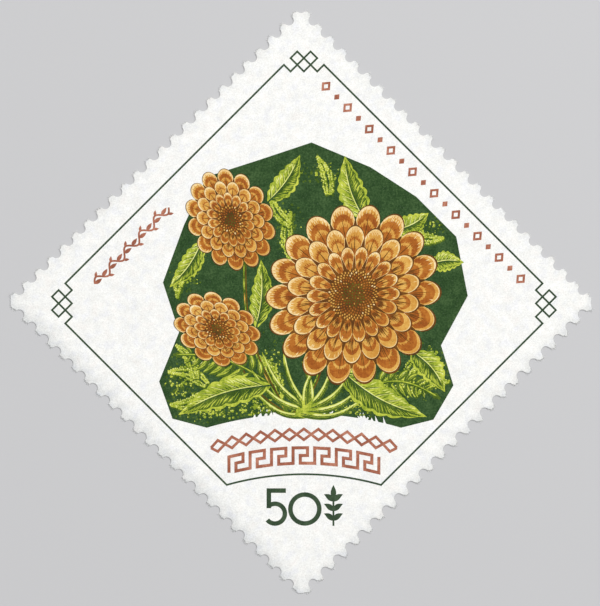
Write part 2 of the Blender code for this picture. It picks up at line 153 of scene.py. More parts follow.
ground = {
    "seed": 11,
    "inset": 6.35,  # from the arch up to the foot
    "footHalf": 10.2,
    "footSteps": 24,
    "corners": (
        (13.6, -12.2), (15.7, -8.6), (14.4, -4.4), (17.2, 0.8), (16.0, 7.0), (11.8, 11.2), (7.0, 14.3),
        (0.8, 16.9), (-4.6, 15.1), (-10.2, 13.3), (-12.6, 8.2), (-14.8, 2.2), (-13.1, -3.0), (-15.2, -8.2),
        (-13.8, -12.1),
    ),
    "notches": 26,
    "notchPlaces": (-3.6, 1.4, 6.4),  # along the foot
    "notchSpread": 1.1,
    "notchDepth": -0.1,  # of their feet, under the foot of the ground
    "notchHeight": (0.25, 0.85),
    "notchWidth": (0.22, 0.50),
    "notchLean": 0.35,
}


def footPoint(x, lift=0.0):
    radius = archRadius + ground["inset"] + lift
    return Vector((x, archCentre.y + math.sqrt(radius ** 2 - x ** 2)))


def layGround():
    rng = random.Random(ground["seed"])
    half, steps = ground["footHalf"], ground["footSteps"]
    foot = [footPoint(-half + 2 * half * i / steps) for i in range(steps + 1)]
    base = lay("darkGreen", groundFilm, foot + [Vector(corner) for corner in ground["corners"]])
    # ragged blades of bare paper cut into the foot
    for _ in range(ground["notches"]):
        x = rng.gauss(rng.choice(ground["notchPlaces"]), ground["notchSpread"])
        height, width = rng.uniform(*ground["notchHeight"]), rng.uniform(*ground["notchWidth"])
        lean = rng.uniform(-ground["notchLean"], ground["notchLean"])
        feet = [footPoint(x + shift, ground["notchDepth"]) for shift in (-width / 2, width / 2)]
        lay(None, groundFilm, [*feet, footPoint(x + lean, height)])
    return base


moss = {
    "seed": 5,
    # centre, spread, number of dots
    "clumps": (
        ((-12.5, -8.5), (1.0, 1.2), 230), ((-9.6, -11.4), (1.9, 0.5), 160), ((-5.0, -10.9), (1.4, 0.6), 160),
        ((5.4, -10.9), (1.7, 0.6), 170), ((10.8, -8.2), (1.7, 0.9), 220), ((13.6, -6.6), (0.7, 1.0), 140),
        ((13.2, 7.8), (0.9, 0.6), 80), ((-12.2, 2.8), (0.7, 0.9), 80), ((-1.7, 8.0), (0.6, 1.5), 90),
        ((-3.3, -6.6), (0.8, 1.1), 110), ((2.0, 13.6), (1.5, 0.7), 90),
    ),
    "dot": (0.06, 0.17),
    "clear": 0.35,  # least height over the foot of the ground
    "lit": (0.70, 0.22),  # share of lit dots in the middle of a clump, and how it falls outwards
    "shineShare": 0.40,  # how many of the lit dots shine
    "shine": (0.4, 0.45),  # shift of the shine to the light and its size, against the dot's
}


def layMoss(base):
    rng = random.Random(moss["seed"])
    litShare, litFall = moss["lit"]
    shift, shineSize = moss["shine"]
    for centre, spread, dots in moss["clumps"]:
        for _ in range(dots):
            place = Vector((rng.gauss(centre[0], spread[0]), rng.gauss(centre[1], spread[1])))
            place.y = max(place.y, footPoint(place.x, moss["clear"]).y)
            edge = abs(place.x - centre[0]) / spread[0] + abs(place.y - centre[1]) / spread[1]
            ink = "yellowGreen" if rng.random() < litShare - litFall * edge else "olive"
            size = rng.uniform(*moss["dot"])
            lay(ink, groundFilm, blot(place, size, 6, rng), base)
            if ink == "yellowGreen" and rng.random() < moss["shineShare"]:
                place = place + Vector((-size, size)) * shift
                lay("paleYellow", groundFilm, blot(place, size * shineSize, 5, rng), base)


mossSprigs = {
    "seed": 31,
    # foot, tip, sideways bend, pairs of leaflets, width
    "lines": (
        ((-10.2, -8.6), (-14.2, -7.2), -0.6, 11, 0.62), ((-10.6, -9.6), (-14.0, -10.6), 0.5, 10, 0.56),
        ((-11.4, -8.0), (-13.4, -4.4), -0.5, 10, 0.52), ((10.4, -8.9), (13.4, -5.2), 0.7, 11, 0.58),
        ((11.4, -9.6), (15.2, -8.2), 0.6, 11, 0.56), ((7.6, -10.4), (9.4, -7.6), 0.4, 8, 0.50),
        ((-2.6, -10.2), (-4.6, -5.6), -0.6, 12, 0.56), ((-1.2, 4.6), (-1.4, 9.6), 0.5, 12, 0.58),
        ((-1.4, 8.2), (-3.4, 11.2), 0.4, 9, 0.50), ((-12.0, 4.6), (-13.3, 0.6), -0.4, 10, 0.54),
        ((11.4, 7.4), (14.6, 6.9), -0.4, 9, 0.50), ((2.6, 11.4), (1.4, 15.4), -0.4, 10, 0.54),
    ),
    "places": (-1, -0.45, 0.45, 1),  # of the leaflets, across the twig
    "droop": 0.4,  # how far the outer ones hang back
    "stray": (0.8, 1.1),
    "leaflet": 0.15,
    "uneven": (0.7, 1.15),
    # shift, size against the leaflet's
    "shade": ((0.10, -0.13), 1.15),
    "shine": ((-0.04, 0.05), 0.5),
    "shineShare": 0.55,
}


def layMossSprigs(base):
    # a bent twig set with round leaflets, in shade below and lit above
    rng = random.Random(mossSprigs["seed"])
    shadeShift, shadeSize = mossSprigs["shade"]
    shineShift, shineSize = mossSprigs["shine"]
    for foot, tip, bend, pairs, width in mossSprigs["lines"]:
        line = bentLine(foot, tip, bend, 2 * pairs)
        for shadow in (True, False):
            for i in range(1, 2 * pairs + 1):
                along = (line[i] - line[i - 1]).normalized()
                across = along.orthogonal()
                reach = width * math.sin(math.pi * (0.15 + 0.8 * i / (2 * pairs)))
                for share in mossSprigs["places"]:
                    way = across * share - along * abs(share) * mossSprigs["droop"]
                    spot = line[i] + way * reach * rng.uniform(*mossSprigs["stray"])
                    size = mossSprigs["leaflet"] * rng.uniform(*mossSprigs["uneven"])
                    if shadow:
                        shade = blot(spot + Vector(shadeShift), size * shadeSize, 6, rng)
                        lay("olive", groundFilm, shade, base)
                        continue
                    lay("yellowGreen", groundFilm, blot(spot, size, 6, rng), base)
                    if rng.random() < mossSprigs["shineShare"]:
                        shine = blot(spot + Vector(shineShift), size * shineSize, 5, rng)
                        lay("paleYellow", groundFilm, shine, base)


stems = {
    "seed": 7,
    # foot, top, sideways bend
    "lines": (
        ((-1.6, -11.7), (-6.2, 5.0), 1.6), ((-1.7, -11.7), (-7.4, -5.0), 0.9),
        ((-1.5, -11.7), (2.0, -6.0), -0.6),
    ),
    "steps": 24,
    "width": 0.42,
    # place across the stem, width
    "shade": (-0.13, 0.10),
    "shine": (0.09, 0.13),
    "shineInks": ("yellowGreen", "ochre", "yellowGreen"),
}


def layStems():
    rng = random.Random(stems["seed"])
    for foot, top, bend in stems["lines"]:
        line = bentLine(foot, top, bend, stems["steps"])
        lay("olive", stemFilm, ribbon(line, [stems["width"]] * len(line)))
        side = sideways(foot, top)
        shade, shine = (
            [point + side * stems[part][0] for point in line[1:-1]] for part in ("shade", "shine")
        )
        lay("brown", stemFilm, pointedLine(shade, stems["shade"][1]))
        for a, b in zip(shine[::2], shine[2::2]):
            lay(rng.choice(stems["shineInks"]), stemFilm, brushStroke(a, b, stems["shine"][1], 0.0, 2))


fronds = {
    "seed": 3,
    # foot, tip, sideways bend, pairs of leaflets, length of the longest
    "lines": (((-3.8, -8.3), (-13.7, -5.4), -1.0, 9, 2.6), ((5.2, -9.6), (14.3, -10.0), 1.6, 8, 2.1)),
    "midrib": 0.30,
    "shape": 0.34,  # width of a leaflet against its length
    "lean": 52,  # of a leaflet from the midrib, in degrees
    "bend": (0.25, 0.2),  # of a leaflet, of its lit half: shares of its width
    # the lit half: how far on its foot and tip lie, and how far up; its width
    "litFoot": (0.14, 0.13),
    "litTip": (-0.07, 0.02),
    "litWidth": 0.46,
    "vein": (0.8, 0.07),  # reach, width
    "touches": 4,  # shaded marks across a leaflet
    "touchPlaces": (0.25, 0.17),  # the first, and the spacing
    "touchEnds": (0.02, 0.34),  # height of its foot, and length
    "touchLean": 0.7,
    "touch": 0.06,
    "paleShare": 0.6,  # how many leaflets have a pale touch
    "paleTouch": (0.4, 0.24, 0.3, 0.07),  # place along the leaflet, height, length, width
    "shineLift": 0.05,  # of the shine over the midrib
    "shine": 0.12,
}


def leafletOutline(foot, tip, width, bend, steps=8):
    widths = [width * math.sin(math.pi * (i / steps) ** 0.8) for i in range(1, steps)]
    return ribbon(bentLine(foot, tip, bend, steps), pointed(widths))


def layLeaflet(foot, tip, length, side, rng):
    width = length * fronds["shape"]
    bend, litBend = (side * width * share for share in fronds["bend"])
    lay("olive", frondFilm, leafletOutline(foot, tip, width, bend))
    # lit upper half, a dark vein and a few touches
    out = (tip - foot).normalized()
    up = upward(out.orthogonal())
    litFoot, litTip = (
        end + out * length * on + up * width * high
        for end, (on, high) in ((foot, fronds["litFoot"]), (tip, fronds["litTip"]))
    )
    lit = leafletOutline(litFoot, litTip, width * fronds["litWidth"], litBend, 6)
    lay("yellowGreen", frondFilm, lit)
    reach, thick = fronds["vein"]
    lay("darkGreen", frondFilm, brushStroke(foot, foot.lerp(tip, reach), thick, litBend))
    first, spacing = fronds["touchPlaces"]
    high, reach = fronds["touchEnds"]
    for k in range(fronds["touches"]):
        start = foot.lerp(tip, first + spacing * k) + up * width * high
        end = start + (up + out * fronds["touchLean"]) * width * reach
        lay("olive", frondFilm, hatchMark(start, end, fronds["touch"]))
    if rng.random() < fronds["paleShare"]:
        share, high, reach, thick = fronds["paleTouch"]
        start = foot.lerp(tip, share) + up * width * high
        lay("paleYellow", frondFilm, hatchMark(start, start + out * length * reach, thick))


def layFronds():
    rng = random.Random(fronds["seed"])
    for foot, tip, bend, pairs, longest in fronds["lines"]:
        midrib = bentLine(foot, tip, bend, pairs + 2)
        fine = bentLine(foot, tip, bend, 3 * (pairs + 2))
        lay("olive", frondFilm, ribbon(fine, [fronds["midrib"]] * len(fine)))
        lay("olive", frondFilm, leafletOutline(midrib[-2], midrib[-1], fronds["midrib"] * 2, 0))
        for pair in range(1, pairs + 1):
            along = (midrib[pair + 1] - midrib[pair]).normalized()
            length = longest * math.sin(math.pi * (0.22 + 0.70 * pair / (pairs + 1)))
            for side in (-1, 1):
                end = midrib[pair] + turned(along, side * fronds["lean"]) * length
                layLeaflet(midrib[pair], end, length, side, rng)
        shine = [point + Vector((0, fronds["shineLift"])) for point in fine[1:-1]]
        lay("yellowGreen", frondFilm, pointedLine(shine, fronds["shine"]))


grass = {
    "seed": 13,
    "foot": (0.4, -11.4),
    "spread": 0.28,  # between the feet of two blades
    # direction of the tip in degrees, length, sideways bend
    "blades": (
        (163, 7.0, 1.3), (147, 8.2, 1.2), (131, 8.4, 1.0), (115, 7.0, 0.7), (98, 5.4, -0.5),
        (79, 4.8, 0.5), (61, 6.2, -0.7), (43, 7.8, -1.1), (27, 8.4, -1.3), (12, 7.4, -1.2),
    ),
    "steps": 18,
    "width": 0.80,
    # ink, place across the blade, first step, the step it ends before, width at its foot, its loss a step
    "strokes": (
        ("olive", -0.32, 1, 16, 0.26, 0.009),
        ("paleYellow", 0.27, 4, 18, 0.17, 0.006),
        ("darkGreen", 0.0, 1, 13, 0.10, 0.006),
    ),
    "touchSteps": (2, 15),
    "touchInks": ("olive", "yellowGreen", "darkGreen"),
    "touch": 0.07,
    # how far a touch reaches across the blade, below and above its middle
    "below": (0.10, 0.30),
    "above": (0.05, 0.25),
}


def layGrass():
    rng = random.Random(grass["seed"])
    steps = grass["steps"]
    middle = (len(grass["blades"]) - 1) / 2
    for k, (direction, length, bend) in enumerate(grass["blades"]):
        foot = Vector(grass["foot"]) - Vector((grass["spread"] * (k - middle), 0))
        tip = onArc(foot, length, direction)
        line = bentLine(foot, tip, bend, steps)
        widths = [grass["width"] * math.sqrt(1 - i / steps) for i in range(steps + 1)]
        lay("yellowGreen", grassFilm, ribbon(line, widths))
        up = upward(sideways(foot, tip))
        for ink, place, first, end, wide, loss in grass["strokes"]:
            stroke = [point + up * width * place for point, width in zip(line, widths)][first:end]
            lay(ink, grassFilm, pointedLine(stroke, wide, loss))
        # short touches across the border of light and shade
        for i in range(*grass["touchSteps"]):
            start = line[i] - up * widths[i] * rng.uniform(*grass["below"])
            end = line[i + 1] + up * widths[i] * rng.uniform(*grass["above"])
            lay(rng.choice(grass["touchInks"]), grassFilm, hatchMark(start, end, grass["touch"]))


leaves = {
    "seed": 19,
    # foot, tip, width, sideways bend of the midrib
    "lines": (
        ((6.6, 8.6), (4.3, 15.5), 3.1, 0.5), ((9.2, 7.6), (13.1, 9.5), 2.6, -0.4),
        ((13.2, 4.0), (16.8, 4.3), 2.3, 0.3), ((11.2, -5.0), (14.8, -9.3), 2.9, 0.5),
        ((3.6, -6.8), (12.9, -11.9), 3.6, -0.8), ((-3.8, 10.6), (-0.4, 15.6), 2.6, -0.4),
        ((-10.6, 6.6), (-14.1, 1.7), 2.4, 0.4), ((-3.4, -8.6), (-13.2, -11.7), 3.3, -0.7),
        ((-5.0, -2.6), (-4.5, 4.6), 2.6, -0.4),
    ),
    "teeth": 7,
    "toothDepth": 0.18,
    "toothSteps": 6,
    "light": (-0.6, 0.8),  # direction that the light comes from in the picture
    "shadeReach": 0.80,  # of the shaded half, towards the edge
    "shadeSteps": 20,
    "veins": 6,
    "veinPlaces": (0.07, 0.72),  # along the midrib: the first, and the length that they share
    # tip of a vein, foot and tip of the light beside it: how far on along the midrib, how far to the edge
    "veinEnds": ((0.17, 0.86), (0.025, 0.08), (0.16, 0.74)),
    "vein": (0.10, 0.07),  # width of a vein and of the light beside it
    "touches": 4,  # for each vein
    "touchPlaces": (0.08, 0.80),
    # ends of a touch, from the midrib, 0, to the edge, 1, its width, and how far on along the midrib they lie
    "litTouch": ((0.62, 0.95), (0.15, 0.35), 0.13, (0.10, 0.02)),
    "shadedTouch": (0.04, (0.3, 0.55), 0.09, 0.06),
    "paleTouch": ((0.5, 0.6), (0.78, 0.92), 0.13, (0.04, 0.09)),
    "paleShare": 0.55,
    "ribSteps": 12,
    "rib": (0.17, 0.013),  # width at its foot, loss of width a step
    "shine": (0.1, 0.09),  # place beside the rib, width
    "specks": 5,  # for each millimetre of width
    "speck": (0.03, 0.06),
    "speckPlaces": ((0.15, 0.85), (-0.8, 0.8)),  # along the midrib, across
}


def leafHalfWidth(width, t):
    if t <= 0 or t >= 1:
        return 0.0
    # rounded teeth with a sharp notch between two
    tooth = (t * leaves["teeth"]) % 1
    notch = tooth / 0.5 if tooth < 0.5 else 2 - tooth / 0.5
    return width / 2 * math.sin(math.pi * t ** 0.8) * (1 - leaves["toothDepth"] * notch ** 1.6)


def layLeaf(foot, tip, width, bend, rng):
    steps = leaves["teeth"] * leaves["toothSteps"]
    midrib = bentLine(foot, tip, bend, steps)
    side = sideways(foot, tip)
    lit = side if side.dot(Vector(leaves["light"])) > 0 else -side

    def onLeaf(t, across):
        # across runs from -1 to 1, and the side of 1 is the lit one
        spot = t * steps
        i = min(int(spot), steps - 1)
        return midrib[i].lerp(midrib[i + 1], spot - i) + lit * leafHalfWidth(width, t) * across

    def touch(ink, t, across, otherT, otherAcross, thick):
        lay(ink, leafFilm, hatchMark(onLeaf(t, across), onLeaf(otherT, otherAcross), thick))

    outline = [onLeaf(i / steps, 1) for i in range(steps + 1)]
    outline += [onLeaf(i / steps, -1) for i in range(steps - 1, 0, -1)]
    lay("yellowGreen", leafFilm, outline)
    count = leaves["shadeSteps"]
    shade = [onLeaf(i / count, 0) for i in range(1, count)]
    shade += [onLeaf(i / count, -leaves["shadeReach"]) for i in range(count - 2, 1, -1)]
    lay("olive", leafFilm, shade)

    count = leaves["veins"] * leaves["touches"]
    first, length = leaves["touchPlaces"]
    for k in range(count):
        t = first + length * k / count
        far, near, thick, (start, end) = leaves["litTouch"]
        touch("yellowGreen", t + start, -rng.uniform(*far), t + end, -rng.uniform(*near), thick)
        near, far, thick, end = leaves["shadedTouch"]
        touch("olive", t, near, t + end, rng.uniform(*far), thick)
        if rng.random() < leaves["paleShare"]:
            near, far, thick, (start, end) = leaves["paleTouch"]
            touch("paleYellow", t + start, rng.uniform(*near), t + end, rng.uniform(*far), thick)
    dark, light = leaves["vein"]
    first, length = leaves["veinPlaces"]
    for k in range(leaves["veins"]):
        t = first + length * k / leaves["veins"]
        for way, ink in ((-1, "yellowGreen"), (1, "paleYellow")):
            veinTip, start, end = (onLeaf(t + on, across * way) for on, across in leaves["veinEnds"])
            lay("darkGreen", leafFilm, brushStroke(onLeaf(t, 0.0), veinTip, dark, 0.0, 4, 0.3))
            lay(ink, leafFilm, brushStroke(start, end, light, 0.0, 3, 0.4))
    count = leaves["ribSteps"]
    wide, loss = leaves["rib"]
    rib = [onLeaf(i / count, 0) for i in range(count)]
    lay("darkGreen", leafFilm, ribbon(rib, [wide - loss * i for i in range(count)]))
    beside, wide = leaves["shine"]
    shine = [onLeaf(i / count, 0) + lit * beside for i in range(1, count - 1)]
    lay("paleYellow", leafFilm, pointedLine(shine, wide))
    for _ in range(int(width * leaves["specks"])):
        t, across = (rng.uniform(*span) for span in leaves["speckPlaces"])
        lay("darkGreen", leafFilm, blot(onLeaf(t, across), rng.uniform(*leaves["speck"]), 5, rng))


def layLeaves():
    rng = random.Random(leaves["seed"])
    for foot, tip, width, bend in leaves["lines"]:
        layLeaf(foot, tip, width, bend, rng)


blooms = {
    # centre, radius, petals in a ring, flattening, its direction in degrees, marks across a petal, seed
    "small": ((-7.7, 8.8), 5.6, 14, 0.80, 118, 6, 21),
    "halfOpen": ((-9.1, -2.7), 4.9, 12, 0.74, 150, 5, 22),
    "large": ((5.2, 0.9), 9.7, 18, 0.94, 60, 9, 23),
}
petalRings = {
    # share of the radius, depth of the notches between petals, turn in half petals
    "outer": (1.00, 0.20, 0),
    "middle": (0.77, 0.21, 1),
    "inner": (0.54, 0.22, 0),
    "heart": (0.30, 0.14, 1),
}
petalBands = {
    # bands inside the brown rim of a petal, from rim to foot: share of its length, ink
    "outer": ((0.965, "cream"), (0.915, "ochre"), (0.84, "rust"), (0.66, "ochre"), (0.58, "rust")),
    "middle": ((0.96, "cream"), (0.90, "ochre"), (0.72, "rust"), (0.62, "ochre"), (0.40, "rust")),
    "inner": ((0.955, "cream"), (0.90, "ochre"), (0.83, "rust"), (0.60, "ochre"), (0.46, "rust")),
}
petalLook = {
    "roundness": 0.55,
    "rimSteps": 12,
    "lightFrom": 128,  # degrees
    # how the border of a band moves as its petal turns to the light; of the ochre ones, only the outer's does
    "shifts": {"cream": 0.010, "ochre": -0.030, "rust": -0.035},
    "foot": (0.23, 0.62),  # petals begin this share of the radius under their ring, and drawn in to this much
    "bandWidth": (0.97, 0.94),  # of the petal's: a band near the rim, the others
    "mark": (0.0105, 0.03, 0.8),  # width of a mark: share of the radius, added millimetres, fine marks' share
    "markSpan": 0.92,  # of the petal's width
    "fringeOver": (0.02, 0.055),  # how far a mark runs over the border of its band, and under it
    "fringeUnder": (0.04, 0.09),
    # along the petal, from foot to rim
    "creamTouch": (0.80, 0.93),
    "brownTouch": (0.30, (0.5, 0.72)),
    "crease": (0.25, 0.80),
    # share of the marks' places with a cream touch and with a brown one, and how it grows with the light
    "creamShare": (0.35, 0.35),
    "brownShare": (0.45, -0.40),
    "specks": (3, 6, -3),  # fewest, most, and how many are added in the light
    "speck": (0.03, 0.06),
    "speckPlaces": ((-0.36, 0.36), (0.35, 0.86)),  # across the petal, along it
}
heartLook = {
    "reach": 0.93,  # of the florets, against the heart's radius
    "spacing": 0.165,
    "turn": 137.508,  # degrees from one floret to the next
    "size": (0.20, 0.10),  # in the middle, and how much it grows outwards
    "shape": 0.62,  # width against length
    # share of the florets that lie further in than the first of each ink
    "ochreFrom": 0.62,
    "rustFrom": 0.22,
    "oddShare": 0.12,  # how many florets take another ink
}


def layBloom(centre, radius, petals, flattening, direction, marks, seed):
    rng = random.Random(seed)
    share, added, fine = petalLook["mark"]
    mark = radius * share + added
    fine *= mark

    def onBloom(reach, degrees):
        x, y = math.cos(math.radians(degrees)), math.sin(math.radians(degrees)) * flattening
        return Vector(centre) + turned((x, y), direction) * reach

    def rim(ring, number, s):
        # s runs from -0.5 to 0.5 across a petal
        share, notch, turn = petalRings[ring]
        reach = radius * share * (1 - notch + notch * abs(math.cos(math.pi * s)) ** petalLook["roundness"])
        return reach, (360 * (number + s) + 180 * turn) / petals

    def silhouette(ring):
        steps = petalLook["rimSteps"]
        sweep = range(-steps // 2, steps // 2)
        return [onBloom(*rim(ring, number, s / steps)) for number in range(petals) for s in sweep]

    def layPetal(ring, number, film):
        axis = rim(ring, number, 0)[1]
        under, drawnIn = petalLook["foot"]
        foot = onBloom(radius * (petalRings[ring][0] - under) * drawnIn, axis)
        outward = (onBloom(radius, axis) - Vector(centre)).normalized()
        lit = outward.dot(onArc((0, 0), 1, petalLook["lightFrom"]))

        def onPetal(s, length):
            return foot.lerp(onBloom(*rim(ring, number, s)), length)

        def touch(ink, s, start, end):
            lay(ink, film, hatchMark(onPetal(s, start), onPetal(s, end), fine))

        for reach, ink in petalBands[ring]:
            if ink != "ochre" or reach > 0.85:
                reach = reach + petalLook["shifts"][ink] * lit
            half = 0.5 * petalLook["bandWidth"][reach <= 0.9]
            lay(ink, film, [onPetal(half * s / 8, reach) for s in range(-8, 9)] + [foot])
        # fringes: marks of each band's ink that run over its borders
        for k in range(marks):
            s = ((k + 0.5 + rng.uniform(-0.25, 0.25)) / marks - 0.5) * petalLook["markSpan"]
            for reach, ink in petalBands[ring][1:]:
                over = rng.uniform(*petalLook["fringeOver"])
                under = rng.uniform(*petalLook["fringeUnder"])
                lay(ink, film, hatchMark(onPetal(s, reach - under), onPetal(s * 0.99, reach + over), mark))
            share, growth = petalLook["creamShare"]
            if rng.random() < share + growth * lit:
                touch("cream", s * 0.9, *petalLook["creamTouch"])
            share, growth = petalLook["brownShare"]
            if rng.random() < share + growth * lit:
                start, end = petalLook["brownTouch"]
                touch("brown", s * 0.9, start, rng.uniform(*end))
        start, end = petalLook["crease"]
        lay("brown", film, brushStroke(onPetal(0, start), onPetal(0.02, end), fine, 0, 3, 0.3))
        fewest, most, added = petalLook["specks"]
        for _ in range(int(rng.uniform(fewest, most) + added * lit)):
            spot = onPetal(*(rng.uniform(*span) for span in petalLook["speckPlaces"]))
            ink = rng.choice(("brown", "olive", "rust"))
            lay(ink, film, blot(spot, rng.uniform(*petalLook["speck"]), 5, rng))

    for level, ring in enumerate(petalBands):
        lay("brown", petalFilm + level, silhouette(ring))
        for number in range(petals):
            layPetal(ring, number, petalFilm + level)

    # the heart: florets laid from its edge inwards, each a turn on from the last
    film = petalFilm + len(petalBands)
    lay("brown", film, silhouette("heart"))
    heart = radius * petalRings["heart"][0] * heartLook["reach"]
    florets = int((heart / heartLook["spacing"]) ** 2)
    small, growth = heartLook["size"]
    for k in range(florets - 1, 0, -1):
        outside = k / florets
        reach = heart * math.sqrt(outside)
        degrees = heartLook["turn"] * k
        size = small + growth * k / florets
        root, point = onBloom(reach - size * 0.5, degrees), onBloom(reach + size * 0.5, degrees)
        ink = "olive"
        if outside > heartLook["rustFrom"]:
            ink = "ochre" if outside > heartLook["ochreFrom"] else "rust"
        if rng.random() < heartLook["oddShare"]:
            ink = "cream" if outside > 0.5 else "ochre"
        lay(ink, film, hatchMark(point, root, size * heartLook["shape"]))


groundBase = layGround()
layMoss(groundBase)
layMossSprigs(groundBase)
layStems()
layFronds()
layGrass()
layLeaves()
for bloom in blooms.values():
    layBloom(*bloom)
print("picture drawn:", len(picture), "outlines")


def newGroup(name, inputs, outputs):
    tree = bpy.data.node_groups.new(name, "ShaderNodeTree")
    for label, kind, value in inputs:
        socket = tree.interface.new_socket(label, in_out="INPUT", socket_type="NodeSocket" + kind)
        socket.default_value = value
    for label, kind in outputs:
        tree.interface.new_socket(label, in_out="OUTPUT", socket_type="NodeSocket" + kind)
    return tree, tree.nodes.new("NodeGroupInput"), tree.nodes.new("NodeGroupOutput")


def feed(tree, node, inputs):
    # each socket takes what another puts out, or a colour or number of its own
    for name, value in inputs.items():
        socket = node.inputs[name]
        if isinstance(value, bpy.types.NodeSocket):
            tree.links.new(value, socket)
        elif socket.type == "RGBA":
            socket.default_value = (*value, 1)
        else:
            socket.default_value = value


def addNode(tree, kind, inputs, **settings):
    node = tree.nodes.new("ShaderNode" + kind)
    for key, value in settings.items():
        setattr(node, key, value)
    feed(tree, node, inputs)
    return node


def mathNode(tree, operation, a, b=0.0, c=0.5, clamp=False):
    return addNode(tree, "Math", {0: a, 1: b, 2: c}, operation=operation, use_clamp=clamp).outputs[0]


def mapRange(tree, value, low, high, newLow=0.0, newHigh=1.0):
    inputs = {"Value": value, "From Min": low, "From Max": high, "To Min": newLow, "To Max": newHigh}
    return addNode(tree, "MapRange", inputs).outputs["Result"]


def mixColour(tree, factor, a, b, blend="MIX"):
    # sockets 6 and 7 are the two colours, and output 2 is their mix
    return addNode(tree, "Mix", {0: factor, 6: a, 7: b}, data_type="RGBA", blend_type=blend).outputs[2]


def noiseNode(tree, vector, scale, detail, roughness=0.5, distortion=0.0):
    inputs = {"Scale": scale, "Detail": detail, "Roughness": roughness, "Distortion": distortion}
    return addNode(tree, "TexNoise", {"Vector": vector, **inputs})


def mapped(tree, vector, angle, scale):
    return addNode(tree, "Mapping", {"Vector": vector, "Rotation": (0, 0, angle), "Scale": scale}).outputs[0]


def bumpNormal(tree, height, strength, distance):
    inputs = {"Height": height, "Strength": strength, "Distance": distance}
    return addNode(tree, "Bump", inputs).outputs["Normal"]


def objectPlace(tree):
    return addNode(tree, "TexCoord", {}).outputs["Object"]


toothLook = {
    # noise: scale, detail, roughness, distortion
    "felt": (2600, 3, 0.6),
    "fibres": (7000, 4, 0.5, 2.2),
    "clouds": (900, 4, 0.7),
    # the two sets of fibres: how they are stretched, their turn in radians
    "sets": (((1, 0.28, 1), 0.6), ((0.28, 1, 1), -0.3)),
    "threadFrom": (0.52, 0.70),
    "threadHeight": 0.5,  # against the felt's
}


def makePaperTooth():
    # soft felt marks with short fibres, from the surface of a machine-made paper
    tree, source, sink = newGroup(
        "paperTooth",
        (("Fibre Size", "Float", 1.0), ("Fibre Height", "Float", 1.0)),
        (("Height", "Float"), ("Fibres", "Float"), ("Clouds", "Float")),
    )
    sized = {0: objectPlace(tree), "Scale": source.outputs["Fibre Size"]}
    scaled = addNode(tree, "VectorMath", sized, operation="SCALE").outputs[0]
    felt = noiseNode(tree, scaled, *toothLook["felt"]).outputs[0]
    threads = []
    for stretch, angle in toothLook["sets"]:
        fibres = noiseNode(tree, mapped(tree, scaled, angle, stretch), *toothLook["fibres"]).outputs[0]
        threads.append(mapRange(tree, fibres, *toothLook["threadFrom"]))
    clouds = noiseNode(tree, scaled, *toothLook["clouds"]).outputs[0]
    threads = mathNode(tree, "MAXIMUM", *threads)
    height = mathNode(tree, "MULTIPLY_ADD", threads, toothLook["threadHeight"], felt)
    height = mathNode(tree, "MULTIPLY", height, source.outputs["Fibre Height"])
    feed(tree, sink, {"Height": height, "Fibres": threads, "Clouds": clouds})
    return tree


grainLook = {
    "wobble": (2000, 2),  # of the screen's lines: noise scale, detail
    "wobbleSize": 0.00012,
    "screenAngle": 45,
    "screenScale": 30000,
    "coarse": (700, 5, 0.65),
    "fine": (6500, 3, 0.7),
    "specks": 5200,
    "speckSize": (0.16, 0.05),
    "speckPlaces": (0.44, 0.60),  # only where the coarse noise is high
    "roughness": (0.78, 0.58),  # of bare paper, of full ink
}


